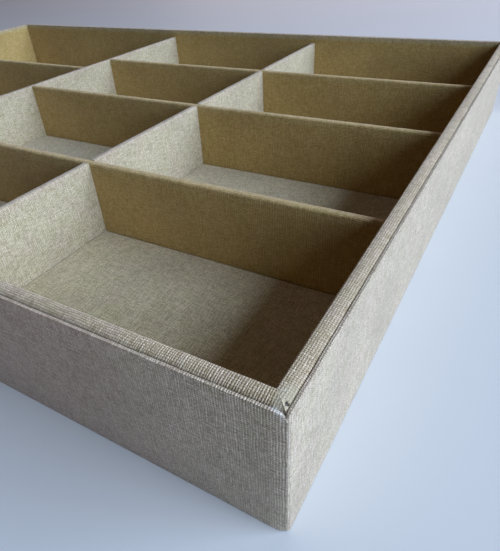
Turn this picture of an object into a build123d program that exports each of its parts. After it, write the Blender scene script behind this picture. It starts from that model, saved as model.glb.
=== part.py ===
from build123d import *
import os

# Jewelry tray: greyboard walls and dividers wrapped in bookcloth, with thin cloth-covered
# cards on its outer sides, its underside and the floor of each compartment.
# Millimetres. X runs along the front to the right, Y to the back and Z up. The origin is
# the centre of the underside, where the tray meets the table.

# Clear widths of the three columns of compartments, between the cloth faces
left_column_width = 162.8
middle_column_width = 110.6
right_column_width = 110.2

# Clear depths of the four rows that the middle and right columns share
front_row_depth = 68.2
second_row_depth = 68.4
third_row_depth = 62.6
back_row_depth = 71.2

# Clear depths of the left column's front two rows, and its back row takes what is left
left_front_row_depth = 89.8
left_second_row_depth = 89.8

# Heights
tray_height = 38.0
divider_drop = 4.5          # from the rim down to the tops of the dividers
side_panel_lift = 0.1       # from the table up to the lower edges of the side panels

# Bookcloth, and the boards and cards under it
cloth_thickness = 0.35
wall_board_thickness = 3.0
base_board_thickness = 2.5
divider_board_thickness = 2.5
side_card_thickness = 0.5
under_card_thickness = 0.7
floor_card_thickness = 1.5

# Edges and fits
wall_board_edge_radius = 0.25
divider_board_edge_radius = 0.6
card_cloth_edge_radius = 0.3
long_panel_corner_radius = 2.2   # at the four corners of the front and back panels' faces
short_panel_corner_radius = 1.0  # at the four corners of the left and right panels' faces
floor_panel_clearance = 0.4      # round each floor panel
side_panel_clearance = 0.1       # between the ends of a side panel and its neighbours
side_panel_setback = 0.45        # from the tray's corners in to the front and back panels' ends
slot_clearance = 0.1             # each side of a divider, and above or below it, in a slot
cut_overrun = 1.0                # how far a cutting solid passes the face that it cuts

# Thicknesses of the layers, worked out
side_panel_thickness = side_card_thickness + cloth_thickness
under_panel_thickness = under_card_thickness + cloth_thickness
floor_panel_thickness = floor_card_thickness + cloth_thickness
divider_thickness = divider_board_thickness + 2 * cloth_thickness

# Distances in from the tray's outer face to each layer of a wall
wall_cloth_outer = side_panel_thickness
wall_board_outer = wall_cloth_outer + cloth_thickness
wall_board_inner = wall_board_outer + wall_board_thickness
rim_thickness = wall_board_inner + cloth_thickness

# Heights of the layers above the table
base_bottom = under_panel_thickness
base_top = base_bottom + base_board_thickness
floor_top = base_top + floor_panel_thickness
wall_board_top = tray_height - cloth_thickness
divider_top = tray_height - divider_drop
divider_board_top = divider_top - cloth_thickness
slot_meeting_height = (base_top + divider_top) / 2

# Overall size, and the faces that the compartments lie between
column_widths = [left_column_width, middle_column_width, right_column_width]
row_depths = [front_row_depth, second_row_depth, third_row_depth, back_row_depth]
inner_width = sum(column_widths) + 2 * divider_thickness
inner_depth = sum(row_depths) + 3 * divider_thickness
half_width = inner_width / 2 + rim_thickness
half_depth = inner_depth / 2 + rim_thickness
left_back_row_depth = (
    inner_depth - left_front_row_depth - left_second_row_depth - 2 * divider_thickness
)
left_row_depths = [left_front_row_depth, left_second_row_depth, left_back_row_depth]


def spans_between_dividers(start, clear_sizes):
    """The clear span of each compartment along one axis, from the first wall face on."""
    spans = []
    for size in clear_sizes:
        spans.append((start, start + size))
        start += size + divider_thickness
    return spans


columns = spans_between_dividers(-inner_width / 2, column_widths)
rows = spans_between_dividers(-inner_depth / 2, row_depths)
left_rows = spans_between_dividers(-inner_depth / 2, left_row_depths)
whole_depth = (-inner_depth / 2, inner_depth / 2)
divider_heights = (base_top, divider_top)


def shrink(span, amount):
    """A span with the same amount taken off both of its ends."""
    return (span[0] + amount, span[1] - amount)


def block(x_span, y_span, z_span):
    """A box between two values on each axis."""
    corner = (x_span[0], y_span[0], z_span[0])
    lengths = (x_span[1] - x_span[0], y_span[1] - y_span[0], z_span[1] - z_span[0])
    return Pos(*corner) * Box(*lengths, align=(Align.MIN, Align.MIN, Align.MIN))


def board_on_edge(x_span, y_span, z_span, along, edge_radius):
    """A board that stands on edge along one axis, with its two long top edges rounded."""
    board = block(x_span, y_span, z_span)
    long_top_edges = board.edges().filter_by(along).group_by(Axis.Z)[-1]
    return fillet(long_top_edges, edge_radius)


def side_strip(side, near, far):
    """Plan spans of a strip along one side, between two distances in from the outer face."""
    x_span = shrink((-half_width, half_width), near)
    y_span = shrink((-half_depth, half_depth), near)
    strips = {
        "front": (x_span, (-half_depth + near, -half_depth + far)),
        "back": (x_span, (half_depth - far, half_depth - near)),
        "left": ((-half_width + near, -half_width + far), y_span),
        "right": ((half_width - far, half_width - near), y_span),
    }
    return strips[side]


def mitre_prism(side):
    """All that lies between the two corner mitres of one side, past the inner wall face."""
    reach = rim_thickness + cut_overrun
    x_ways, y_ways = {
        "front": ((-1, 1, 1, -1), (-1, -1, -1, -1)),
        "back": ((-1, 1, 1, -1), (1, 1, 1, 1)),
        "left": ((-1, -1, -1, -1), (-1, 1, 1, -1)),
        "right": ((1, 1, 1, 1), (-1, 1, 1, -1)),
    }[side]
    depths = (0, 0, reach, reach)
    corners = [
        (x_way * (half_width - depth), y_way * (half_depth - depth))
        for x_way, y_way, depth in zip(x_ways, y_ways, depths)
    ]
    plan = make_face(Polyline(*corners, close=True))
    return Pos(0, 0, -cut_overrun) * extrude(plan, tray_height + 2 * cut_overrun, dir=(0, 0, 1))


def wall_pieces(side, along):
    """One wall's board and the cloth that goes over it, both mitred at their ends."""
    mitre = mitre_prism(side)
    outer_radius = wall_board_edge_radius + cloth_thickness
    board = board_on_edge(
        *side_strip(side, wall_board_outer, wall_board_inner),
        (base_top, wall_board_top), along, wall_board_edge_radius,
    )
    wrapped = board_on_edge(
        *side_strip(side, wall_cloth_outer, rim_thickness),
        (base_bottom, tray_height), along, outer_radius,
    )
    room_for_base = block(
        *side_strip(side, wall_board_outer, rim_thickness + cut_overrun),
        (base_bottom - cut_overrun, base_top),
    )
    return board & mitre, (wrapped - board - room_for_base) & mitre


def with_round_corners(panel, face_axis, radius):
    """A flat panel with the four corners of its face rounded."""
    return fillet(panel.edges().filter_by(face_axis), radius)


def card_cloth(wrapped, card, face_axis, face_is_last):
    """Cloth over a card's face and edges, from the outer form, with its face edges rounded."""
    face = wrapped.faces().sort_by(face_axis)[-1 if face_is_last else 0]
    return fillet(face.edges(), card_cloth_edge_radius) - card


def side_panel(side):
    """One outer side panel: its card, and the cloth over the card's face and four edges."""
    x_span, y_span = side_strip(side, 0, side_panel_thickness)
    z_span = (side_panel_lift, tray_height)
    outward = cloth_thickness
    if side in ("left", "right"):
        # These two end between the front and back panels.
        y_span = shrink(y_span, side_panel_thickness + side_panel_clearance)
        card_x = {"left": (x_span[0] + outward, x_span[1]), "right": (x_span[0], x_span[1] - outward)}
        card = block(card_x[side], shrink(y_span, cloth_thickness), shrink(z_span, cloth_thickness))
        face_axis, radius = Axis.X, short_panel_corner_radius
    else:
        x_span = shrink(x_span, side_panel_setback)
        card_y = {"front": (y_span[0] + outward, y_span[1]), "back": (y_span[0], y_span[1] - outward)}
        card = block(shrink(x_span, cloth_thickness), card_y[side], shrink(z_span, cloth_thickness))
        face_axis, radius = Axis.Y, long_panel_corner_radius
    card = with_round_corners(card, face_axis, radius - cloth_thickness)
    wrapped = block(x_span, y_span, z_span)
    wrapped = with_round_corners(wrapped, face_axis, radius)
    return card, card_cloth(wrapped, card, face_axis, side in ("right", "back"))


def base_board():
    """The bottom board, under the walls and inside their outer cloth."""
    x_span = shrink((-half_width, half_width), wall_board_outer)
    y_span = shrink((-half_depth, half_depth), wall_board_outer)
    return block(x_span, y_span, (base_bottom, base_top))


def under_panel():
    """The panel that the tray rests on: a card, and cloth over its lower face and edges."""
    x_span = shrink((-half_width, half_width), wall_board_outer)
    y_span = shrink((-half_depth, half_depth), wall_board_outer)
    card = block(
        shrink(x_span, cloth_thickness), shrink(y_span, cloth_thickness),
        (cloth_thickness, base_bottom),
    )
    return card, card_cloth(block(x_span, y_span, (0, base_bottom)), card, Axis.Z, False)


def divider(x_span, y_span, along):
    """A divider's board and the cloth over its two faces and its top, before any slots."""
    if along == Axis.X:
        board_spans = (x_span, shrink(y_span, cloth_thickness))
    else:
        board_spans = (shrink(x_span, cloth_thickness), y_span)
    outer_radius = divider_board_edge_radius + cloth_thickness
    board = board_on_edge(
        *board_spans, (base_top, divider_board_top), along, divider_board_edge_radius
    )
    wrapped = board_on_edge(x_span, y_span, divider_heights, along, outer_radius)
    return board, wrapped - board


def slot_at(x_span, y_span, from_above):
    """The cut for one slot of a crossing, from above or from below to mid height."""
    upper = (slot_meeting_height - slot_clearance, divider_top + cut_overrun)
    lower = (base_top - cut_overrun, slot_meeting_height + slot_clearance)
    return block(x_span, y_span, upper if from_above else lower)


def floor_panel(x_span, y_span):
    """One compartment's floor: a card, and cloth over its top and its edges."""
    x_span = shrink(x_span, floor_panel_clearance)
    y_span = shrink(y_span, floor_panel_clearance)
    card = block(
        shrink(x_span, cloth_thickness), shrink(y_span, cloth_thickness),
        (base_top, floor_top - cloth_thickness),
    )
    return card, card_cloth(block(x_span, y_span, (base_top, floor_top)), card, Axis.Z, True)


pieces = {"base_board": base_board()}
pieces["under_card"], pieces["under_cloth"] = under_panel()

# The four walls and the panels on their outer sides
for side, along in (("front", Axis.X), ("back", Axis.X), ("left", Axis.Y), ("right", Axis.Y)):
    pieces[f"wall_board_{side}"], pieces[f"wall_cloth_{side}"] = wall_pieces(side, along)
    pieces[f"side_card_{side}"], pieces[f"side_cloth_{side}"] = side_panel(side)

# The gaps between the columns and between the rows, which the dividers fill
left_gap = (columns[0][1], columns[1][0])
right_gap = (columns[1][1], columns[2][0])
row_gaps = [(rows[i][1], rows[i + 1][0]) for i in range(len(rows) - 1)]
left_row_gaps = [(left_rows[i][1], left_rows[i + 1][0]) for i in range(len(left_rows) - 1)]
past_right_gap = shrink(right_gap, -cut_overrun)

# The long divider on the left is whole, and the right one is slotted from above
pieces["long_divider_board_left"], pieces["long_divider_cloth_left"] = divider(
    left_gap, whole_depth, Axis.Y
)
long_board, long_cloth = divider(right_gap, whole_depth, Axis.Y)
for gap in row_gaps:
    slot = slot_at(past_right_gap, shrink(gap, -slot_clearance), True)
    long_board -= slot
    long_cloth -= slot
pieces["long_divider_board_right"] = long_board
pieces["long_divider_cloth_right"] = long_cloth

# The cross dividers are slotted from below, where they pass over the right long divider
for name, gap in zip(("front", "middle", "back"), row_gaps):
    cross_board, cross_cloth = divider((left_gap[1], columns[2][1]), gap, Axis.X)
    slot = slot_at(shrink(right_gap, -slot_clearance), shrink(gap, -cut_overrun), False)
    pieces[f"cross_divider_board_{name}"] = cross_board - slot
    pieces[f"cross_divider_cloth_{name}"] = cross_cloth - slot

# The short dividers of the left column
for name, gap in zip(("front", "back"), left_row_gaps):
    short_board, short_cloth = divider(columns[0], gap, Axis.X)
    pieces[f"short_divider_board_{name}"] = short_board
    pieces[f"short_divider_cloth_{name}"] = short_cloth

# A floor panel in each compartment, counted from the front
for column, x_span, y_spans in (
    ("left", columns[0], left_rows),
    ("middle", columns[1], rows),
    ("right", columns[2], rows),
):
    for number, y_span in enumerate(y_spans, start=1):
        card, cloth = floor_panel(x_span, y_span)
        pieces[f"floor_card_{column}_{number}"] = card
        pieces[f"floor_cloth_{column}_{number}"] = cloth

for name, piece in pieces.items():
    export_step(piece, f"parts/{name}.step")

print("width", 2 * half_width, "depth", 2 * half_depth, "height", tray_height)
print("pieces", len(pieces))
print("left back row", left_back_row_depth, "floor top", floor_top, "divider top", divider_top)
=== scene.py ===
import math
from functools import partial

import bmesh
import bpy
import numpy as np
from bpy.props import FloatProperty, IntProperty, PointerProperty, StringProperty
from mathutils import Matrix, Vector


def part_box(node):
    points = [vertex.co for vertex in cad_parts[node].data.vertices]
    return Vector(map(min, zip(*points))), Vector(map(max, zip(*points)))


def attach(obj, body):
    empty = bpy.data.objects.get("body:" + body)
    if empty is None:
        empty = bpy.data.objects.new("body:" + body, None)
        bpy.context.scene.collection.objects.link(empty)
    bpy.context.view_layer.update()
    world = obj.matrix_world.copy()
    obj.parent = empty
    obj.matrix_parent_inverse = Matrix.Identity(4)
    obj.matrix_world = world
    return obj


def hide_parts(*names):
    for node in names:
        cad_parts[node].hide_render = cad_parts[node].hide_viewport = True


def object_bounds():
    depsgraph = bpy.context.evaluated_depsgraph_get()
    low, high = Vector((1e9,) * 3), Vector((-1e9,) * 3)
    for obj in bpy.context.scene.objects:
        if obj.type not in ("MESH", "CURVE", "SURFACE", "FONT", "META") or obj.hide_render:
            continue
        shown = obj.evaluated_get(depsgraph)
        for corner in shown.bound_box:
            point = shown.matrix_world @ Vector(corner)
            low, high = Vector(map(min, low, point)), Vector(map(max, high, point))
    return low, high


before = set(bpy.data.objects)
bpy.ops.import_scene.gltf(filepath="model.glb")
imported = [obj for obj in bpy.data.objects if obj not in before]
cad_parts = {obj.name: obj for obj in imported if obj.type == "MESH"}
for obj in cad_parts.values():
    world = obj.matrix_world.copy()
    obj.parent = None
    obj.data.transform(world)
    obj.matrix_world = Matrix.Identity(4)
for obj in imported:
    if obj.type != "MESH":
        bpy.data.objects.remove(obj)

bl_info = {
    "name": "Cloth-Covered Jewelry Tray",
    "version": (1, 0, 0),
    "blender": (4, 5, 0),
    "location": "View3D > Sidebar > Tray",
    "description": "Dresses a greyboard jewelry tray in natural linen bookcloth",
    "category": "Add Mesh",
}

CAD_BOX = [list(corner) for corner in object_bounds()]
MM = 0.001
NODE_NAMES = sorted(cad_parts)

# The way that each side looks, and the axes as directions
OUTWARD = {"front": (0, -1), "back": (0, 1), "left": (-1, 0), "right": (1, 0)}
AXES = ((1, 0, 0), (0, 1, 0), (0, 0, 1))

# The tray's layers, read from the frame
TRAY_HALF = CAD_BOX[1][:2]
HALF_HEIGHT = CAD_BOX[1][2] / 2
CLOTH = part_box("wall_board_front")[0].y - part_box("wall_cloth_front")[0].y
WALL_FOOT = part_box("wall_board_front")[0].z
SLOT_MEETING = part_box("base_board")[1].z / 2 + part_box("long_divider_cloth_left")[1].z / 2
SLOT_PLAY = 0.1 * MM

# Cloth laid over an edge. Each piece has a seed of its own, counted on from the first of its kind.
FIRST_SEED = {"wall": 1, "side": 5, "divider": 9, "floor": 20, "under": 40}
PATTERN_SHIFT = 40          # threads that the pattern moves on for each step of the seed
ROUND_THREADS = 10          # a strip's count of threads is a multiple of this
FACES_A_THREAD = 4
LONG_EDGE = 1.9 * MM        # edges shorter than this aren't split along a strip
FADE_HOLD = 1.3             # a fade is whole up to 0.3 of its reach, and gone at 1.3 of it
BEND_REACH = 1.0 * MM       # of the fold's look, from the fold down the faces
SMOOTH_ANGLE = 55.0         # degrees, past which an edge shows as a crease

# Threads raised over a fold: heights are shares of the thread relief, and waves radians a thread
FOLD_FADE = 2.6 * MM        # how far below a fold they sink back into the face
BOLDNESS = (0.7, 1.15)      # the least and most that a thread stands up
FINER = 0.8                 # the share of that which every second thread has
FACE_LEVEL = 0.62           # where the smooth cloth's face lies in a thread's height
PRESSED = 0.12              # what is left of threads that are pressed flat
END_PRESS = (0.0, 1.0 * MM)             # from a strip's end: pressed flat, and whole again
MITRE_PRESS = (2.3 * MM, 3.2 * MM)      # the same at the mitred ends of the walls
UNEVEN = 0.03 * MM          # how far the whole fold rises and falls
UNEVEN_WAVES = (0.37, 0.111)            # every 9 and 31 mm
SWAY = 0.14                 # how far threads sway along the fold, in threads
SWAY_WAVE = 1.73            # every 2 mm
SWAY_END = 12               # threads from an end where they sway in full

# The rims, the groove behind each side panel, and the side panels' ends
CROWN_ROWS = (0.4 * MM, 0.8 * MM, 1.3 * MM, 1.9 * MM, 2.6 * MM)     # in from the rim's outer edge
CROWN_HOLD, CROWN_FADE = 1.33, 1.5 * MM     # whole for 0.5 mm below the rim's top, gone at 2 mm
GROOVE_DROP = 0.4 * MM      # from a side panel's top down to the rim's outer edge
GROOVE_EASE = 0.5           # how much of that the left and right rims are spared
GROOVE_SHADE_REACH = 0.75 * MM      # how far the painted shade in the front and back grooves reaches in from the rim's outer edge
# How far a side panel's cloth goes on past the ends of its card
LAPS = {"front": 0.2 * MM, "back": 0.2 * MM, "left": 0.5 * MM, "right": 0.5 * MM}
NOSE_ROWS = (0.5 * MM, 0.9 * MM, 1.4 * MM)      # in from a side panel's end
# How far from its ends a panel's face draws back, and by what share of the panel's depth: the
# front and back panels, and the left and right ones
LONG_NOSE, SHORT_NOSE = (5.0 * MM, 0.45), (NOSE_ROWS[-1], 0.5)
SHORT_BACK = 0.4            # the share of panel_back that the left and right panels have
CORNER_STEPS, BACK_STEPS = 6, 2         # faces round a panel's corner, and across its back's edges

# Marks on the cloth, in millimetres: colour, cover, centre, turn in degrees and half sizes. The
# first is painted shade: a reddish-mauve tone over most of the front panel's face, for its shaded colour.
# The others lie by the near right corner, and the last of them is painted shade in the pinhole.
CLOTH_MARKS = (
    ("front_shade", 0.22, (50.0, -144.5, 19.0), 0, (120.0, 0.9, 60.0)),
    ("worn", 0.6, (197.5, -141.0, 38.0), 0, (1.9, 3.1, 1.0)),
    ("paste", 0.35, (196.3, -139.95, 38.0), 27, (0.9, 0.2, 0.8)),
    ("paste", 0.5, (197.0, -143.9, 37.9), -12, (1.3, 0.6, 0.8)),
    ("paste", 0.25, (198.2, -144.4, 36.9), 0, (0.45, 0.6, 1.0)),
    # Painted shade: the dark inside of the pinhole.
    ("pinhole", 1.0, (198.0, -142.05, 38.0), 30, (0.35, 0.4, 1.5)),
)
MARK_EDGE = (1.25, 0.7)     # where a mark starts and is whole, in half sizes from its centre
MARK_PRESS = -0.6           # the share of the threads' relief that a whole mark adds
RAGGED, RAGGED_SIZE = 0.9 * MM, 1.111 * MM      # how far a mark's edge strays, and how coarsely
PINHOLE = (198.0 * MM, -142.05 * MM)
HOLE_RADIUS, HOLE_DEPTH = 0.45 * MM, 0.8 * MM
HOLE_HOLD = 1.2             # it is flat up to 0.45 of its radius, and ends at 1.1 of it

# How far each piece's cloth takes the paler, greyer outer colours, by the start of its node's name, and
# how far it takes them at least along the folds of the rims and dividers. This is painted light: the outer
# panels, the lit long dividers and the floors get the pale copy, and the walls and other dividers, in
# shade, keep the darker, warmer inner colours; along the rims it is partly also wear from handling.
LIT_AND_HANDLED = {"side": 1.0, "under": 1.0, "wall": 0.0, "long": 0.9, "cross": 0.0, "short": 0.0, "floor": 0.82}
RIM_LIT_AND_HANDLED, DIVIDER_LIT_AND_HANDLED = 0.8, 0.15

# The weave, with the heights of its threads from 0 to 1
WANDER, WANDER_SIZE = 0.9, 5.0 * MM         # how far threads wander, in threads, and how slowly
LEVEL, SWING = 0.58, 0.42                   # a thread's middle height, and how far it swings
FOLD_STAND = 0.06                           # how much higher, and steadier, it is over a fold
COVERING = 5.0                              # how sharply a thread shows over the one it crosses
GAP_HEIGHTS = (0.12, 0.56)                  # ground shows below the first, thread above the second
THREAD_STEP = 7.31                          # from a thread's place on its noise to the next one's
SLUB_SIZE, PATCH_SIZE, LEAN_SIZE, FIBRE_SIZE = 3.667 * MM, 25.0 * MM, 7.857 * MM, 0.2037 * MM
# What a noise is multiplied by, and what is then added
SLUB_TONE, PATCH_TONE, LEAN_TONE = (3.0, -1.0), (0.30, 0.85), (4.0, -1.5)
# How much the colour changes: paler face up, which is painted light from above; darker in the front and
# back grooves, which is painted shade; and darker over the folds
PAINTED_TOP_LIGHT, GROOVE_SHADE_SHARE, FOLDED = 0.25, -0.5, -0.08
# Tints that the colour is multiplied by
MAUVE, OLIVE = (1.0, 0.98, 1.0, 1.0), (0.99, 1.0, 0.97, 1.0)
UNCHANGED, GREEN_CAST = (1.0, 1.0, 1.0, 1.0), (1.0, 1.12, 0.97, 1.0)
# Relief by the fold and by the thread's tone: times, and then added
FOLD_RELIEF, TONE_RELIEF = (0.15, 0.65), (0.7, 0.6)
FIBRE_RELIEF = 0.35
BUMP_RELIEF = 3.3                           # how deep the bump is drawn, in thread reliefs

# The greyboard's specks, and how far they stand out
SPECK_SIZE, SPECK_TONE, SPECK_RELIEF = 1.111 * MM, (1.2, 0.4), 0.05 * MM

# The photograph's frame and the camera that its edges give
PHOTO_WIDTH, PHOTO_HEIGHT = 500, 551
SENSOR = 36.0
CAMERA_FOCAL_PIXELS = 482.8
CAMERA_CENTRE = (232.9, 287.2)      # where the lens axis meets the photograph, from its top left
CAMERA_YAW = -33.15                 # degrees from +Y, to the right
CAMERA_PITCH = 37.04                # degrees down
CAMERA_ROLL = -4.515                # degrees
CAMERA_FROM_CORNER = (20.20 * MM, -44.01 * MM, 100.90 * MM)
CAMERA_CLIP = (0.005, 20.0)

# The stage
FLOOR_SIZE = 6.0                    # metres
LIT_PLACE = (0.15, -0.08, 0.0)      # what every lamp points at
# Each lamp: its name, its colour's name, azimuth from +X and elevation in degrees, distance,
# width and height
LAMPS = (
    ("window", "window", 3.0, 28.0, 1.5, 1.6, 1.0),
    ("room", "room", 102.5, 12.2, 1.66, 1.5, 0.5),
    ("ceiling", "room", 0.0, 85.0, 2.5, 0.55, 1.35),
    ("fill", "fill", -110.0, 40.0, 2.0, 1.6, 1.0),
)


class TraySizes(bpy.types.PropertyGroup):
    """Sizes of the cloth and its folds."""

    thread_pitch: FloatProperty(
        name="Thread pitch", description="From one thread of the cloth to the next",
        default=0.55 * MM, unit="LENGTH", precision=5,
    )
    thread_relief: FloatProperty(
        name="Thread relief",
        description="How far the threads stand out where the cloth folds over a rim",
        default=0.05 * MM, unit="LENGTH", precision=5,
    )
    wall_fold: FloatProperty(
        name="Wall fold", description="Radius of the cloth's fold over the inner edge of a wall",
        default=0.45 * MM, unit="LENGTH", precision=5,
    )
    wall_press: FloatProperty(
        name="Wall press", description="Radius of the fold where the side panel presses on it",
        default=0.22 * MM, unit="LENGTH", precision=5,
    )
    rim_crown: FloatProperty(
        name="Rim crown", description="How far the rim's cloth rounds up from its outer edge",
        default=0.8 * MM, unit="LENGTH", precision=5,
    )
    divider_fold: FloatProperty(
        name="Divider fold", description="Radius of the cloth's fold over the edges of a divider",
        default=0.95 * MM, unit="LENGTH", precision=5,
    )
    card_fold: FloatProperty(
        name="Card fold", description="Radius of the cloth's fold over the edges of a thin card",
        default=0.34 * MM, unit="LENGTH", precision=5,
    )
    panel_fold: FloatProperty(
        name="Panel fold", description="Radius of the cloth's fold over the edges of a side panel",
        default=0.15 * MM, unit="LENGTH", precision=5,
    )
    panel_back: FloatProperty(
        name="Panel back", description="Radius where a side panel's edges meet the wall",
        default=0.28 * MM, unit="LENGTH", precision=5,
    )
    long_corner: FloatProperty(
        name="Long corner", description="Radius of the corners of the front and back panels",
        default=2.2 * MM, unit="LENGTH", precision=5,
    )
    short_corner: FloatProperty(
        name="Short corner", description="Radius of the corners of the left and right panels",
        default=1.0 * MM, unit="LENGTH", precision=5,
    )
    fold_steps: IntProperty(
        name="Fold steps", description="Faces across each rounded fold", default=3, min=2, max=8,
    )


class TrayColours(bpy.types.PropertyGroup):
    """Colours of the cloth and boards, as sRGB hex values."""

    # The inner colours are the shaded copy of the cloth: darker and warmer, which is painted shade for the
    # walls and dividers inside the tray.
    thread_light: StringProperty(
        name="Light thread", description="The palest threads of the linen", default="#D7BA7D",
    )
    thread_dark: StringProperty(
        name="Dark thread", description="The darkest threads of the linen", default="#B3944F",
    )
    thread_gap: StringProperty(
        name="Gap", description="The glue-stained ground that shows between threads", default="#73592A",
    )
    # The outer colours are the lit copy of the same cloth: paler and greyer, which is painted light; along
    # the rims they stand partly also for wear from handling.
    side_light: StringProperty(
        name="Outer light thread", description="The palest threads outside, where the cloth is handled",
        default="#E2D0B6",
    )
    side_dark: StringProperty(
        name="Outer dark thread", description="The darkest threads outside", default="#A89679",
    )
    side_gap: StringProperty(
        name="Outer gap", description="The ground between the threads outside", default="#7D6C54",
    )
    board: StringProperty(name="Greyboard", description="The boards under the cloth", default="#8B857B")
    paste: StringProperty(name="Paste", description="Dried paste at a corner", default="#E9E4D8")
    # Painted shade: the reddish-mauve tone over the front panel's face, for its shaded colour.
    front_shade: StringProperty(
        name="Browned", description="Cloth that has browned along the front", default="#A55A48",
    )
    # Painted shade for the dark inside of the pinhole.
    pinhole: StringProperty(
        name="Pinhole", description="The dark inside of the pinhole", default="#2E2618",
    )
    worn: StringProperty(name="Worn", description="Cloth pressed smooth at a corner", default="#C9BD9E")
    floor: StringProperty(name="Floor", description="The pale floor under the tray", default="#DFDFDB")
    window: StringProperty(name="Window", description="The cool light from a window", default="#CADFFF")
    room: StringProperty(name="Room", description="The warmer light from the room", default="#FFECF3")
    fill: StringProperty(name="Fill", description="The faint light from in front", default="#FFE2EC")


class TrayLight(bpy.types.PropertyGroup):
    """The soft studio light."""

    window_power: FloatProperty(
        name="Window", description="Power of the large soft light on the right", default=49.0,
        unit="POWER",
    )
    room_power: FloatProperty(
        name="Room", description="Power of the low light from behind", default=7.8, unit="POWER",
    )
    ceiling_power: FloatProperty(
        name="Ceiling", description="Power of the weak light from above", default=2.0, unit="POWER",
    )
    fill_power: FloatProperty(
        name="Fill", description="Power of the faint light from in front", default=0.6, unit="POWER",
    )


def props():
    """The three groups of settings."""
    scene = bpy.context.scene
    return scene.tray_sizes, scene.tray_colours, scene.tray_light


def linear(hex_text):
    """An sRGB hex colour as linear red, green, blue and alpha."""
    channels = [int(hex_text[i:i + 2], 16) / 255 for i in (1, 3, 5)]
    return [c / 12.92 if c <= 0.04045 else ((c + 0.055) / 1.055) ** 2.4 for c in channels] + [1.0]


def add_node(tree, kind, *values, **named):
    """A new shader node with its settings, and its inputs' values and links.

    The values go to the inputs in their order. A name with a small first letter is a setting,
    and one with a capital is an input. A value that is a node or a socket is linked.
    """
    node = tree.nodes.new(f"ShaderNode{kind}")
    for name, value in named.items():
        if name[0].islower():
            setattr(node, name, value)
    fed = list(zip([socket for socket in node.inputs if socket.enabled], values))
    fed += [(node.inputs[name.replace("_", " ")], named[name]) for name in named if name[0].isupper()]
    for socket, value in fed:
        if isinstance(value, bpy.types.Node):
            value = next(output for output in value.outputs if output.enabled)
        if isinstance(value, bpy.types.NodeSocket):
            tree.links.new(value, socket)
        else:
            socket.default_value = value
    return node


def new_material(name):
    """An empty material, and the function that adds nodes to it."""
    material = bpy.data.materials.new(name)
    material.use_nodes = True
    material.node_tree.nodes.clear()
    return material, partial(add_node, material.node_tree)


def changed_by(add, value, cause, share):
    """A value that gains a share of itself where its cause is 1. A share below 0 lessens it."""
    times = add("Math", cause, share, 1.0, operation="MULTIPLY_ADD")
    return add("Math", value, times, operation="MULTIPLY")


def tinted(add, colour, factor, first, second):
    """A colour multiplied by a mix of two tints."""
    tint = add("Mix", factor, first, second, data_type="RGBA")
    return add("Mix", 1.0, colour, tint, data_type="RGBA", blend_type="MULTIPLY")


def moved_aside(add, place, noise, far):
    """A place that a coloured noise moves aside, by up to half of far each way."""
    aside = add("VectorMath", noise.outputs["Color"], (0.5, 0.5, 0.5), operation="SUBTRACT")
    return add("VectorMath", aside, far, place, operation="MULTIPLY_ADD")


def mark_mask(add, place, centre, turn, half):
    """Where a small oval mark lies: its centre and half sizes in millimetres, turned about Z."""
    centre, half = ([size * MM for size in sizes] for sizes in (centre, half))
    oval = add("Mapping", place, centre, (0, 0, math.radians(turn)), half, vector_type="TEXTURE")
    far = add("VectorMath", oval, operation="LENGTH")
    return add("MapRange", far, *MARK_EDGE, interpolation_type="SMOOTHSTEP")


def thread_tone(add, cross, run, pitch):
    """Tone of one set of threads: each thread's own, changing along its run."""
    own = add("Math", add("Math", cross, operation="FLOOR"), THREAD_STEP, operation="MULTIPLY")
    place = add("CombineXYZ", own, add("Math", run, pitch / SLUB_SIZE, operation="MULTIPLY"))
    slubs = add("TexNoise", place, noise_dimensions="2D", Scale=1.0, Detail=4.0, Roughness=0.72)
    return add("Math", slubs, *SLUB_TONE, operation="MULTIPLY_ADD", use_clamp=True)


def plain_weave(add, weave, bend, pitch):
    """The height of a plain weave's threads, and the tone of the thread that shows."""
    # Threads wander a little, more slowly than they repeat.
    wander = add("TexNoise", weave, noise_dimensions="2D", Scale=pitch / WANDER_SIZE, Detail=2.0)
    place = moved_aside(add, weave, wander, (WANDER, WANDER, 0.0))
    counts = add("SeparateXYZ", place).outputs[:2]

    # A sine of half the thread count changes sign from one thread to the next. It gives each
    # thread a round back, and takes it up and down as it crosses the others.
    turns = [add("Math", count, math.pi, operation="MULTIPLY") for count in counts]
    waves = [add("Math", turn, operation="SINE") for turn in turns]
    backs = [add("Math", wave, operation="ABSOLUTE") for wave in waves]
    signs = [add("Math", wave, operation="SIGN") for wave in waves]
    ups = [add("Math", sign, wave, operation="MULTIPLY") for sign, wave in zip(signs, reversed(waves))]

    # Over a fold the threads that cross it stand up along their whole run.
    swing = add("Math", bend, -FOLD_STAND, SWING, operation="MULTIPLY_ADD")
    level = add("Math", bend, FOLD_STAND, LEVEL, operation="MULTIPLY_ADD")
    crossing = add("Math", ups[0], swing, level, operation="MULTIPLY_ADD")
    crossing = add("Math", backs[0], crossing, operation="MULTIPLY")
    running = add("Math", ups[1], -SWING, LEVEL, operation="MULTIPLY_ADD")
    running = add("Math", backs[1], running, operation="MULTIPLY")
    height = add("Math", crossing, running, operation="MAXIMUM")
    over = add("Math", crossing, running, operation="SUBTRACT")
    over = add("Math", over, COVERING, 0.5, operation="MULTIPLY_ADD", use_clamp=True)
    # The first count tells the crossing threads apart, and the second the running ones.
    tones = [thread_tone(add, *pair, pitch) for pair in (reversed(counts), counts)]
    return height, add("Mix", over, *tones, data_type="FLOAT")


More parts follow.
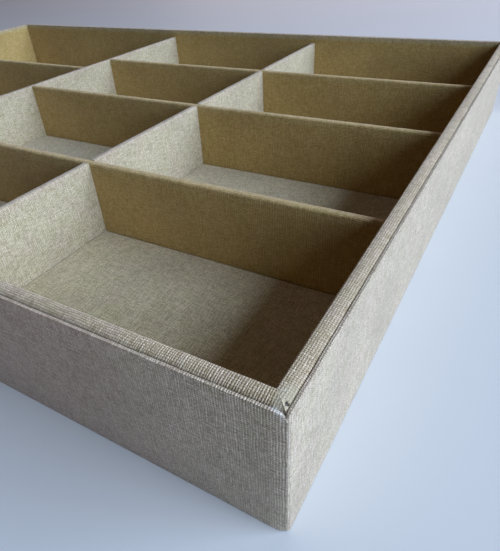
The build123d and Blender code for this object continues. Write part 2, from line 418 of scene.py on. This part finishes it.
def linen_bookcloth():
    """Natural linen bookcloth: a plain weave of uneven threads, pressed and glued to its board.

    The weave's map counts threads, so one unit is one thread. Threads are light where they come
    up, the ground shows dark in the gaps, and each thread changes in tone along its length.
    """
    sizes, colours, _ = props()
    pitch = sizes.thread_pitch
    material, add = new_material("natural_linen_bookcloth")
    weave = add("UVMap", uv_map="weave")
    # How far the paler outer colours are mixed in, which is painted light and partly wear, how far the
    # cloth is bent, and the painted shade in the front and back grooves.
    handled, bend, soiled = (
        add("Attribute", attribute_name=name).outputs["Fac"] for name in ("handled", "bend", "soiled")
    )
    inside, outside = (
        [linear(getattr(colours, f"{place}_{part}")) for part in ("light", "dark", "gap")]
        for place in ("thread", "side")
    )
    light, dark, gap = (
        add("Mix", handled, *pair, data_type="RGBA") for pair in zip(inside, outside)
    )
    height, tone = plain_weave(add, weave, bend, pitch)
    thread = add("Mix", tone, dark, light, data_type="RGBA")
    raised = add("MapRange", height, *GAP_HEIGHTS, interpolation_type="SMOOTHSTEP")
    woven = add("Mix", raised, gap, thread, data_type="RGBA")

    # The cloth changes slowly in tone. Faces that look up are painted paler, as painted light from above,
    # and the front and back grooves darker, as painted shade.
    patches = add("TexNoise", weave, noise_dimensions="2D", Scale=pitch / PATCH_SIZE, Detail=4.0)
    shade = add("Math", patches, *PATCH_TONE, operation="MULTIPLY_ADD")
    normal = add("SeparateXYZ", add("TexCoord").outputs["Normal"])
    upward = add("Math", normal.outputs["Z"], 0.0, operation="MAXIMUM")
    for cause, share in ((upward, PAINTED_TOP_LIGHT), (soiled, GROOVE_SHADE_SHARE), (bend, FOLDED)):
        shade = changed_by(add, shade, cause, share)
    shade = add("CombineColor", shade, shade, shade)
    colour = add("Mix", 1.0, woven, shade, data_type="RGBA", blend_type="MULTIPLY")
    # Here and there the cloth leans to mauve or to olive.
    leaning = add("TexNoise", weave, noise_dimensions="2D", Scale=pitch / LEAN_SIZE, Detail=3.0)
    leaning = add("Math", leaning, *LEAN_TONE, operation="MULTIPLY_ADD", use_clamp=True)
    colour = tinted(add, colour, leaning, MAUVE, OLIVE)
    # Where the paler outer colours are mixed in only in part, on the lit long dividers and floors, the
    # colour gets a green cast, most at a half, but not over the folds: painted light, the greenish cast of
    # the window light on those lit faces.
    partly = add("Math", handled, 4.0, operation="MULTIPLY")
    for cause in (handled, bend):
        partly = changed_by(add, partly, cause, -1.0)
    colour = tinted(add, colour, partly, UNCHANGED, GREEN_CAST)

    # Marks have ragged edges, and the threads are pressed flat under them.
    place = add("TexCoord").outputs["Object"]
    ragged = add("TexNoise", place, Scale=1 / RAGGED_SIZE, Detail=2.0)
    place = moved_aside(add, place, ragged, (RAGGED, RAGGED, RAGGED))
    relief = add("Math", bend, *FOLD_RELIEF, operation="MULTIPLY_ADD")
    # Two marks are painted shade: the tone over the front panel and the dark inside of the pinhole.
    for tint, cover, centre, turn, half in CLOTH_MARKS:
        mask = add("Math", mark_mask(add, place, centre, turn, half), cover, operation="MULTIPLY")
        colour = add("Mix", mask, colour, linear(getattr(colours, tint)), data_type="RGBA")
        relief = changed_by(add, relief, mask, MARK_PRESS)

    # Pale threads stand a little higher. Fibres are drawn about ten times too coarse, so that
    # they show.
    fibres = add("TexNoise", weave, noise_dimensions="2D", Scale=pitch / FIBRE_SIZE, Detail=2.0)
    higher = add("Math", tone, *TONE_RELIEF, operation="MULTIPLY_ADD")
    surface = add("Math", height, higher, operation="MULTIPLY")
    surface = add("Math", fibres, FIBRE_RELIEF, surface, operation="MULTIPLY_ADD")
    surface = add("Math", surface, relief, operation="MULTIPLY")
    shader = add(
        "BsdfPrincipled", Base_Color=colour, Roughness=0.86, Specular_IOR_Level=0.22,
        Sheen_Weight=0.2, Sheen_Roughness=0.45, Sheen_Tint=(0.9, 0.93, 1.0, 1.0),
        Normal=add("Bump", Height=surface, Distance=BUMP_RELIEF * sizes.thread_relief),
    )
    add("OutputMaterial", shader)
    return material


def greyboard():
    """Binder's greyboard: pressed waste paper, matt, with specks of fibre in a grey ground."""
    _, colours, _ = props()
    material, add = new_material("pressed_greyboard")
    place = add("TexCoord").outputs["Object"]
    specks = add("TexNoise", place, Scale=1 / SPECK_SIZE, Detail=5.0, Roughness=0.7)
    shade = add("Math", specks, *SPECK_TONE, operation="MULTIPLY_ADD")
    shade = add("CombineColor", shade, shade, shade)
    colour = add("Mix", 1.0, linear(colours.board), shade, data_type="RGBA", blend_type="MULTIPLY")
    bump = add("Bump", Height=specks, Distance=SPECK_RELIEF)
    shader = add("BsdfPrincipled", Base_Color=colour, Roughness=0.93, Specular_IOR_Level=0.15, Normal=bump)
    add("OutputMaterial", shader)
    return material


def bookcloth():
    """The bookcloth, made the first time that it is asked for."""
    return bpy.data.materials.get("natural_linen_bookcloth") or linen_bookcloth()


def block(name, low, high):
    """A new block between two corners, with its place in its mesh."""
    if bpy.context.object and bpy.context.object.mode != "OBJECT":
        bpy.ops.object.mode_set(mode="OBJECT")
    bpy.ops.object.select_all(action="DESELECT")
    centre = (Vector(low) + Vector(high)) / 2
    bpy.ops.mesh.primitive_cube_add(size=1, location=centre, scale=Vector(high) - Vector(low))
    piece = bpy.context.object
    piece.name = piece.data.name = name
    bpy.ops.object.transform_apply(location=True, rotation=True, scale=True)
    return piece


def select_where(piece, kind, test):
    """In edit mode, selects the vertices, edges or faces that pass a test on their points."""
    bpy.ops.object.mode_set(mode="EDIT")
    bpy.ops.mesh.select_mode(type={"verts": "VERT", "edges": "EDGE", "faces": "FACE"}[kind])
    bpy.ops.mesh.select_all(action="DESELECT")
    mesh = bmesh.from_edit_mesh(piece.data)
    chosen = 0
    for item in getattr(mesh, kind):
        if test([item.co] if kind == "verts" else [v.co for v in item.verts]):
            item.select_set(True)
            chosen += 1
    mesh.select_flush_mode()
    bmesh.update_edit_mesh(piece.data)
    if not chosen:
        raise RuntimeError(f"nothing to select on {piece.name}")


def all_near(axis, target, slack=0.02 * MM):
    """A test for points that all lie at one value of an axis."""
    return lambda points: all(abs(p[axis] - target) < slack for p in points)


def runs_along(axis, least=0.0):
    """A test for edges that run straight along one axis for at least a length."""
    def test(points):
        run = points[1] - points[0]
        aside = max(abs(run[i]) for i in range(3) if i != axis)
        return abs(run[axis]) > least and aside < 0.01 * MM
    return test


def delete_faces(piece, test):
    """Deletes the faces whose points pass a test."""
    select_where(piece, "faces", test)
    bpy.ops.mesh.delete(type="FACE")
    bpy.ops.object.mode_set(mode="OBJECT")


def round_edges(piece, test, radius, steps):
    """Rounds the edges whose points pass a test."""
    select_where(piece, "edges", test)
    bpy.ops.mesh.bevel(offset=radius, segments=steps, affect="EDGES", clamp_overlap=True)
    bpy.ops.object.mode_set(mode="OBJECT")


def move_points(piece, test, shift):
    """Moves the points that pass a test."""
    select_where(piece, "verts", test)
    bpy.ops.transform.translate(value=shift)
    bpy.ops.object.mode_set(mode="OBJECT")


def cut_across(piece, point, direction, clear_outer=False, fill=False):
    """Cuts the whole mesh with a plane, and clears what lies before the plane if asked."""
    bpy.ops.object.mode_set(mode="EDIT")
    bpy.ops.mesh.select_all(action="SELECT")
    bpy.ops.mesh.bisect(plane_co=point, plane_no=direction, use_fill=fill, clear_outer=clear_outer)
    bpy.ops.object.mode_set(mode="OBJECT")


def cut_at(piece, axis, place):
    """Cuts the whole mesh at one place on an axis."""
    cut_across(piece, [place * way for way in AXES[axis]], AXES[axis])


def split_lengthwise(piece, axis, parts):
    """Splits the long edges along one axis into equal parts."""
    select_where(piece, "edges", runs_along(axis, LONG_EDGE))
    bpy.ops.mesh.subdivide(number_cuts=parts - 1)
    bpy.ops.object.mode_set(mode="OBJECT")


def make_active(piece):
    """Selects one piece and nothing else."""
    bpy.ops.object.select_all(action="DESELECT")
    piece.select_set(True)
    bpy.context.view_layer.objects.active = piece


def thicken(piece, depth):
    """Gives a skin its thickness, inwards from the outer face."""
    make_active(piece)
    solid = piece.modifiers.new("thickness", "SOLIDIFY")
    solid.thickness = depth
    solid.offset = -1.0
    solid.use_even_offset = True
    bpy.ops.object.modifier_apply(modifier=solid.name)


def points_of(piece):
    """The mesh's points as an array."""
    points = np.empty(len(piece.data.vertices) * 3)
    piece.data.vertices.foreach_get("co", points)
    return points.reshape(-1, 3)


def put_points(piece, points):
    """Moves the mesh's points to where an array says."""
    piece.data.vertices.foreach_set("co", points.ravel())
    piece.data.update()


def write_values(piece, name, values):
    """Gives each point of the mesh a value that the cloth's material reads."""
    attribute = piece.data.attributes.new(name, "FLOAT", "POINT")
    attribute.data.foreach_set("value", values.astype(np.float32))


def path_over(depth, z, width, top, folds):
    """How far each point lies from the middle of a rounded top, going round the cloth's outside.

    It is less than nothing on the outer side. Points under the fold go straight down.
    folds are the radii on the outer and inner sides.
    """
    side = np.where(depth < width / 2, -1.0, 1.0)
    fold = np.where(depth < width / 2, *folds)
    from_edge = np.minimum(depth, width - depth)
    below = top - z
    flat = width / 2 - fold
    angle = np.arctan2(fold - from_edge, np.maximum(fold - below, 1e-9))
    on_flat = width / 2 - from_edge
    on_fold = flat + fold * np.clip(angle, 0, math.pi / 2)
    on_side = flat + fold * math.pi / 2 + (below - fold)
    far = np.where(from_edge >= fold, on_flat, np.where(below >= fold, on_side, on_fold))
    return side * far


def fade_out(far, reach):
    """1 up to 0.3 of a reach, and 0 from 1.3 of it."""
    return np.clip(FADE_HOLD - far / reach, 0.0, 1.0)


def lay_weave(piece, node, across, along, bend):
    """Writes the weave's map from two arrays of thread counts, and how far the cloth is bent.

    It also writes how far the cloth takes the paler outer colours: painted light on the outer panels and
    the lit pieces, and along the folds of the rims partly also wear from handling.
    """
    paler = next(value for start, value in LIT_AND_HANDLED.items() if node.startswith(start))
    edge = DIVIDER_LIT_AND_HANDLED if "divider" in node else RIM_LIT_AND_HANDLED
    bend = np.broadcast_to(bend, len(across))
    write_values(piece, "bend", bend)
    write_values(piece, "handled", paler + np.clip(edge - paler, 0, 1) * bend)
    layer = piece.data.uv_layers.new(name="weave")
    corners = np.empty(len(piece.data.loops), np.int32)
    piece.data.loops.foreach_get("vertex_index", corners)
    weave = np.stack([across[corners], along[corners]], axis=1)
    layer.data.foreach_set("uv", weave.ravel())


def finish_cloth(piece, node):
    """Smooths a finished piece of cloth, gives it its material and rides it on the tray.
    """
    make_active(piece)
    bpy.ops.object.shade_smooth_by_angle(angle=math.radians(SMOOTH_ANGLE))
    piece.data.materials.clear()
    piece.data.materials.append(bookcloth())
    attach(piece, "root")
    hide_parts(node)
    cores = [node.replace("cloth", kind) for kind in ("board", "card")]
    cores = [core for core in cores if core in NODE_NAMES]


def raise_threads(piece, axis, threads, span, far, reach, seed, press=END_PRESS):
    """Lifts the threads that cross a fold, on the outer skin and near the fold only.

    span is where the strip starts and ends on its axis. far is how far each point of the outer
    skin lies from the middle of the fold, and reach how far down the threads stand in full.
    Threads differ a little in spacing and height, and every second one is finer.
    """
    sizes, _, _ = props()
    points = points_of(piece)
    normals = np.empty(len(points) * 3)
    piece.data.vertices.foreach_get("normal", normals)
    length = span[1] - span[0]
    place = np.clip((points[:, axis] - span[0]) / length, 0, 1) * threads
    from_end = np.minimum(place, threads - place)
    chance = np.random.default_rng(seed)
    finer = np.where(np.arange(threads + 1) % 2 == 0, 1.0, FINER)
    bold = chance.uniform(*BOLDNESS, threads + 1) * finer
    crest = np.abs(np.sin(math.pi * place)) * bold[place.astype(int)] - FACE_LEVEL
    # Solidify puts the inner skin's points after the outer skin's, in the same order.
    fade = np.clip(1.0 - (np.abs(np.tile(far, 2)) - reach) / FOLD_FADE, 0.0, 1.0)
    fade *= np.clip((from_end * length / threads - press[0]) / (press[1] - press[0]), PRESSED, 1.0)
    fade[len(far):] = 0.0
    rise, roll = (np.sin(place * wave + shift * seed) for wave, shift in zip(UNEVEN_WAVES, (1, 2)))
    lift = (sizes.thread_relief * crest + UNEVEN * rise * roll) * fade
    points += normals.reshape(-1, 3) * lift[:, None]
    sway = SWAY * sizes.thread_pitch * np.sin(place * SWAY_WAVE + seed)
    points[:, axis] += sway * np.clip(from_end / SWAY_END, 0, 1)
    put_points(piece, points)


def cloth_over_edge(name, node, axis, outer, folds, seed, shape, lap=0.0):
    """A strip of cloth that goes up one face, over the rounded top and down the other face.

    axis is the way that the strip runs, and outer is 1 or -1 for the way across it that its
    outer face looks. folds are the radii of the outer and inner folds. shape does what the
    piece needs before the cloth gets its thickness. lap is how far both ends go on.
    """
    sizes, _, _ = props()
    low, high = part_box(node)
    low[axis] -= lap
    high[axis] += lap
    side = 1 - axis
    width = high[side] - low[side]
    length = high[axis] - low[axis]
    piece = block(name, low, high)
    shape(piece, low, high)
    fold = max(folds)
    cut_at(piece, 2, high.z - fold - FOLD_FADE)
    threads = ROUND_THREADS * round(length / sizes.thread_pitch / ROUND_THREADS)
    split_lengthwise(piece, axis, FACES_A_THREAD * ROUND_THREADS)
    split_lengthwise(piece, axis, threads // ROUND_THREADS)

    points = points_of(piece)
    depth = high[side] - points[:, side] if outer > 0 else points[:, side] - low[side]
    far = path_over(depth, points[:, 2], width, high.z, folds)
    from_low, from_high = points[:, axis] - low[axis], high[axis] - points[:, axis]
    # On a panel's end the threads go on round the corner.
    past_end = np.where(from_high < fold, depth, 0.0) - np.where(from_low < fold, depth, 0.0)
    shift = PATTERN_SHIFT * seed
    across = from_low / length * threads + past_end / sizes.thread_pitch + shift
    bend = fade_out(np.abs(far) - width / 2, BEND_REACH)
    if lap:
        bend = np.maximum(bend, fade_out(np.minimum(from_low, from_high), BEND_REACH))
    lay_weave(piece, node, across, far / sizes.thread_pitch + shift, bend)
    return piece, threads, far, width


def open_strip(axis, outer, folds):
    """The shape of a strip that is open at its foot and ends, with its top edges rounded."""
    def shape(piece, low, high):
        delete_faces(piece, all_near(2, low.z))
        delete_faces(piece, all_near(axis, low[axis]))
        delete_faces(piece, all_near(axis, high[axis]))
        top = all_near(2, high.z)
        faces = (high, low) if outer > 0 else (low, high)
        steps = props()[0].fold_steps
        for face, fold in zip(faces, folds):
            beside = all_near(1 - axis, face[1 - axis])
            round_edges(piece, lambda points: top(points) and beside(points), fold, steps)
    return shape


class TRAY_OT_boards(bpy.types.Operator):
    """Finish the boards and cards, which stay as the frame has them"""

    bl_idname = "tray.boards"
    bl_label = "Boards and Cards"

    def execute(self, context):
        material = greyboard()
        for name in NODE_NAMES:
            if "cloth" not in name:
                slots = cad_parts[name].data.materials
                slots.clear()
                slots.append(material)
        return {"FINISHED"}


class TRAY_OT_wall_cloths(bpy.types.Operator):
    """Wrap the four walls, with the cloth mitred at the corners of the rim"""

    bl_idname = "tray.wall_cloths"
    bl_label = "Wall Cloths"

    def execute(self, context):
        for seed, side in enumerate(OUTWARD, start=FIRST_SEED["wall"]):
            self.wrap(side, seed)
        return {"FINISHED"}

    def wrap(self, side, seed):
        """One wall's cloth: its outer face, rim and inner face."""
        sizes, _, _ = props()
        node = f"wall_cloth_{side}"
        outward = OUTWARD[side]
        across = 0 if outward[0] else 1
        axis = 1 - across
        low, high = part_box(node)
        inner_face = low[across] if outward[across] > 0 else high[across]
        outer_face = low[across] + high[across] - inner_face
        folds = (sizes.wall_press, sizes.wall_fold)
        strip = open_strip(axis, outward[across], folds)

        def shape(piece, low, high):
            strip(piece, low, high)
            foot, inner = all_near(2, low.z), all_near(across, inner_face)
            move_points(piece, lambda points: foot(points) and inner(points), (0, 0, WALL_FOOT - low.z))
            for depth in CROWN_ROWS:
                cut_at(piece, across, outer_face - outward[across] * depth)

        piece, threads, far, width = cloth_over_edge(
            f"linen_wall_{side}", node, axis, outward[across], folds, seed, shape
        )
        self.round_crown(piece, across, outer_face, high.z)
        # Painted shade in the front and back grooves.
        self.paint_groove_shade(piece, across, outer_face)
        thicken(piece, CLOTH)
        span = (low[axis], high[axis])
        raise_threads(piece, axis, threads, span, far, width / 2, seed, MITRE_PRESS)
        self.press_hole(piece)
        for other in OUTWARD.values():
            if other[across] == 0:
                corner = Vector([TRAY_HALF[i] * (outward[i] + other[i]) for i in (0, 1)] + [0])
                away = Vector((other[0] - outward[0], other[1] - outward[1], 0)).normalized()
                cut_across(piece, corner, away, clear_outer=True, fill=True)
        # Both ends of the inner flap are cut back, and the mitre takes a triangle off each.
        finish_cloth(piece, node)

    def round_crown(self, piece, across, outer_face, top):
        """Rounds the rim up from the groove at its outer edge."""
        points = points_of(piece)
        depth = np.minimum(np.abs(points[:, across] - outer_face) / CROWN_ROWS[-1], 1.0)
        ease = 0.0 if across else GROOVE_EASE * GROOVE_DROP
        rise = (props()[0].rim_crown - ease) * (1.0 - (1.0 - depth) ** 2) - GROOVE_DROP + ease
        points[:, 2] += rise * np.clip((points[:, 2] - top) / CROWN_FADE + CROWN_HOLD, 0.0, 1.0)
        put_points(piece, points)

    def paint_groove_shade(self, piece, across, outer_face):
        """Paints shade into the groove along the front and back rims, darkest at the rim's outer edge."""
        depth = np.abs(points_of(piece)[:, across] - outer_face)
        write_values(piece, "soiled", fade_out(depth, GROOVE_SHADE_REACH) * across)

    def press_hole(self, piece):
        """Presses in the small hole by the near right corner, where the cloth wasn't pulled over."""
        points = points_of(piece)
        far = np.hypot(points[:, 0] - PINHOLE[0], points[:, 1] - PINHOLE[1]) / HOLE_RADIUS
        deep = HOLE_DEPTH * np.clip(HOLE_HOLD - far * far, 0.0, 1.0)
        points[:, 2] -= deep * (points[:, 2] > HALF_HEIGHT)
        put_points(piece, points)


class TRAY_OT_side_cloths(bpy.types.Operator):
    """Wrap the thin cards on the tray's outer sides"""

    bl_idname = "tray.side_cloths"
    bl_label = "Side Cloths"

    def execute(self, context):
        for seed, side in enumerate(OUTWARD, start=FIRST_SEED["side"]):
            self.wrap(side, seed)
        return {"FINISHED"}

    def wrap(self, side, seed):
        """One side panel's cloth, which is open toward the wall."""
        sizes, _, _ = props()
        node = f"side_cloth_{side}"
        outward = OUTWARD[side]
        across = 0 if outward[0] else 1
        axis = 1 - across
        lap = LAPS[side]
        low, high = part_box(node)
        back = low[across] if outward[across] > 0 else high[across]
        face = low[across] + high[across] - back
        corner = sizes.long_corner if across else sizes.short_corner
        back_fold = sizes.panel_back * (1.0 if across else SHORT_BACK)

        def shape(piece, low, high):
            round_edges(piece, runs_along(across), corner, CORNER_STEPS)
            round_edges(piece, all_near(across, face), sizes.panel_fold, sizes.fold_steps)
            round_edges(piece, all_near(across, back), back_fold, BACK_STEPS)
            delete_faces(piece, all_near(across, back))
            for depth in (*NOSE_ROWS, corner):
                cut_at(piece, axis, low[axis] + depth)
                cut_at(piece, axis, high[axis] - depth)

        folds = (sizes.panel_fold, sizes.panel_fold)
        piece, threads, far, width = cloth_over_edge(
            f"linen_side_{side}", node, axis, outward[across], folds, seed, shape, lap
        )
        span = (low[axis] - lap, high[axis] + lap)
        self.round_ends(piece, across, back, outward[across] * width, span[1])
        thicken(piece, CLOTH)
        raise_threads(piece, axis, threads, span, far, width / 2, seed)
        finish_cloth(piece, node)

    def round_ends(self, piece, across, back, depth, end):
        """Draws a panel's face back toward both ends, where the cloth is pulled round the card."""
        points = points_of(piece)
        reach, pull = LONG_NOSE if across else SHORT_NOSE
        from_end = np.clip((end - np.abs(points[:, 1 - across])) / reach, 0.0, 1.0)
        out = (points[:, across] - back) / depth
        points[:, across] -= pull * depth * out * (1.0 - from_end) ** 3
        put_points(piece, points)


class TRAY_OT_divider_cloths(bpy.types.Operator):
    """Wrap the dividers, with a slot where two of them cross"""

    bl_idname = "tray.divider_cloths"
    bl_label = "Divider Cloths"

    def execute(self, context):
        names = [name for name in NODE_NAMES if "divider_cloth" in name]
        for seed, node in enumerate(names, start=FIRST_SEED["divider"]):
            self.wrap(node, seed)
        return {"FINISHED"}

    def wrap(self, node, seed):
        """One divider's cloth, over its top and down both faces."""
        sizes, _, _ = props()
        folds = (sizes.divider_fold, sizes.divider_fold)
        axis = 1 if node.startswith("long") else 0
        piece, threads, _, width = cloth_over_edge(
            node.replace("cloth", "linen"), node, axis, -1, folds, seed, open_strip(axis, -1, folds)
        )
        self.cut_slots(piece, node, axis)
        points = points_of(piece)
        low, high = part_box(node)
        side = 1 - axis
        far = path_over(points[:, side] - low[side], points[:, 2], width, high.z, folds)
        thicken(piece, CLOTH)
        raise_threads(piece, axis, threads, (low[axis], high[axis]), far, width / 2, seed)
        finish_cloth(piece, node)

    def cut_slots(self, piece, node, axis):
        """Opens the slots: from above in the long divider on the right, from below in those across."""
        if node == "long_divider_cloth_right":
            others = [name for name in NODE_NAMES if name.startswith("cross_divider_cloth")]
        elif node.startswith("cross"):
            others = ["long_divider_cloth_right"]
        else:
            return
        upward = node.startswith("long")
        cut_at(piece, 2, SLOT_MEETING)
        for other in others:
            low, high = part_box(other)
            span = (low[axis] - SLOT_PLAY, high[axis] + SLOT_PLAY)
            for place in span:
                cut_at(piece, axis, place)

            def in_slot(points):
                middle = sum(p[axis] for p in points) / len(points)
                height = sum(p.z for p in points) / len(points)
                beyond = height > SLOT_MEETING if upward else height < SLOT_MEETING
                return span[0] < middle < span[1] and beyond

            delete_faces(piece, in_slot)


class TRAY_OT_floor_cloths(bpy.types.Operator):
    """Cover the floor panel of each compartment, and the panel under the tray"""

    bl_idname = "tray.floor_cloths"
    bl_label = "Floor Cloths"

    def execute(self, context):
        names = [name for name in NODE_NAMES if name.startswith("floor_cloth")]
        for seed, node in enumerate(names, start=FIRST_SEED["floor"]):
            self.cover(node, node.replace("cloth", "linen"), 1, seed)
        self.cover("under_cloth", "linen_underside", -1, FIRST_SEED["under"])
        return {"FINISHED"}

    def cover(self, node, name, up, seed):
        """A panel's cloth, which shows its face upwards or downwards."""
        sizes, _, _ = props()
        fold = sizes.card_fold
        low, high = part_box(node)
        face, back = (high.z, low.z) if up > 0 else (low.z, high.z)
        piece = block(name, low, high)
        on_back = all_near(2, back)
        round_edges(piece, lambda points: not on_back(points), fold, sizes.fold_steps)
        delete_faces(piece, on_back)
        points = points_of(piece)
        drop = np.abs(points[:, 2] - face)
        weave = []
        for axis in (0, 1):
            # On the panel's edges the threads go on down.
            place = points[:, axis]
            past_end = np.where(high[axis] - place < fold, drop, 0.0)
            past_end -= np.where(place - low[axis] < fold, drop, 0.0)
            weave.append((place + past_end) / sizes.thread_pitch + PATTERN_SHIFT * seed)
        lay_weave(piece, node, *weave, 0.0)
        thicken(piece, CLOTH)
        finish_cloth(piece, node)


class TRAY_OT_stage(bpy.types.Operator):
    """Lay the pale floor, set the soft light and place the camera"""

    bl_idname = "tray.stage"
    bl_label = "Stage"

    def execute(self, context):
        self.lay_floor()
        self.set_light()
        self.place_camera()
        context.scene.view_settings.view_transform = "Standard"
        return {"FINISHED"}

    def lay_floor(self):
        """A painted table, matt and nearly white."""
        _, colours, _ = props()
        bpy.ops.object.select_all(action="DESELECT")
        bpy.ops.mesh.primitive_plane_add(size=FLOOR_SIZE, location=(0, 0, 0))
        floor = bpy.context.object
        floor.name = floor.data.name = "pale_floor"
        material, add = new_material("matt_painted_table")
        paint = add(
            "BsdfPrincipled", Base_Color=linear(colours.floor), Roughness=0.7, Specular_IOR_Level=0.2
        )
        add("OutputMaterial", paint)
        floor.data.materials.append(material)

    def set_light(self):
        """The lamps, and a backdrop in the floor's colour that is seen and lights nothing."""
        _, colours, light = props()
        world = bpy.context.scene.world or bpy.data.worlds.new("studio")
        bpy.context.scene.world = world
        world.use_nodes = True
        world.node_tree.nodes.clear()
        add = partial(add_node, world.node_tree)
        seen = add("LightPath").outputs["Is Camera Ray"]
        add("OutputWorld", add("Background", linear(colours.floor), seen))
        for name, tint, azimuth, elevation, distance, width, height in LAMPS:
            azimuth, elevation = math.radians(azimuth), math.radians(elevation)
            level = math.cos(elevation)
            toward = Vector((math.cos(azimuth) * level, math.sin(azimuth) * level, math.sin(elevation)))
            bpy.ops.object.select_all(action="DESELECT")
            bpy.ops.object.light_add(type="AREA", location=Vector(LIT_PLACE) + toward * distance)
            lamp = bpy.context.object
            lamp.name = f"{name}_light"
            lamp.rotation_euler = toward.to_track_quat("Z", "Y").to_euler()
            lamp.visible_camera = False
            lamp.data.shape = "RECTANGLE"
            lamp.data.size, lamp.data.size_y = width, height
            lamp.data.energy = getattr(light, f"{name}_power")
            lamp.data.color = linear(getattr(colours, tint))[:3]

    def place_camera(self):
        """The photograph's viewpoint, from the near right corner's own edges."""
        corner = Vector((TRAY_HALF[0], -TRAY_HALF[1], 0))
        yaw, pitch, roll = (math.radians(angle) for angle in (CAMERA_YAW, CAMERA_PITCH, CAMERA_ROLL))
        heading = Vector((math.sin(yaw), math.cos(yaw), 0))
        ahead = heading * math.cos(pitch) - Vector(AXES[2]) * math.sin(pitch)
        level = Vector((math.cos(yaw), -math.sin(yaw), 0))
        upward = level.cross(ahead)
        right = level * math.cos(roll) + upward * math.sin(roll)
        up = upward * math.cos(roll) - level * math.sin(roll)
        bpy.ops.object.select_all(action="DESELECT")
        bpy.ops.object.camera_add(location=corner + Vector(CAMERA_FROM_CORNER))
        camera = bpy.context.object
        camera.name = "photo_view"
        camera.rotation_euler = Matrix((right, up, -ahead)).transposed().to_euler()
        camera.data.sensor_width = SENSOR
        camera.data.lens = CAMERA_FOCAL_PIXELS * SENSOR / PHOTO_HEIGHT
        camera.data.shift_x = (PHOTO_WIDTH / 2 - CAMERA_CENTRE[0]) / PHOTO_HEIGHT
        camera.data.shift_y = (CAMERA_CENTRE[1] - PHOTO_HEIGHT / 2) / PHOTO_HEIGHT
        camera.data.clip_start, camera.data.clip_end = CAMERA_CLIP
        bpy.context.scene.camera = camera


class TRAY_PT_panel(bpy.types.Panel):
    """The tray's settings and steps"""

    bl_idname = "TRAY_PT_panel"
    bl_label = "Jewelry Tray"
    bl_space_type = "VIEW_3D"
    bl_region_type = "UI"
    bl_category = "Tray"

    def draw(self, context):
        for group in props():
            box = self.layout.box()
            for name in group.__annotations__:
                box.prop(group, name)
        for operator in STEPS:
            self.layout.operator(operator.bl_idname)


STEPS = (
    TRAY_OT_boards, TRAY_OT_wall_cloths, TRAY_OT_side_cloths, TRAY_OT_divider_cloths,
    TRAY_OT_floor_cloths, TRAY_OT_stage,
)
GROUPS = {"tray_sizes": TraySizes, "tray_colours": TrayColours, "tray_light": TrayLight}


def register():
    for made in (*GROUPS.values(), *STEPS, TRAY_PT_panel):
        bpy.utils.register_class(made)
    for name, group in GROUPS.items():
        setattr(bpy.types.Scene, name, PointerProperty(type=group))


def unregister():
    for name in GROUPS:
        delattr(bpy.types.Scene, name)
    for made in (TRAY_PT_panel, *reversed(STEPS), *GROUPS.values()):
        bpy.utils.unregister_class(made)


def main():
    register()
    bpy.ops.tray.boards()
    bpy.ops.tray.wall_cloths()
    bpy.ops.tray.side_cloths()
    bpy.ops.tray.divider_cloths()
    bpy.ops.tray.floor_cloths()
    bpy.ops.tray.stage()


if __name__ == "__main__":
    main()
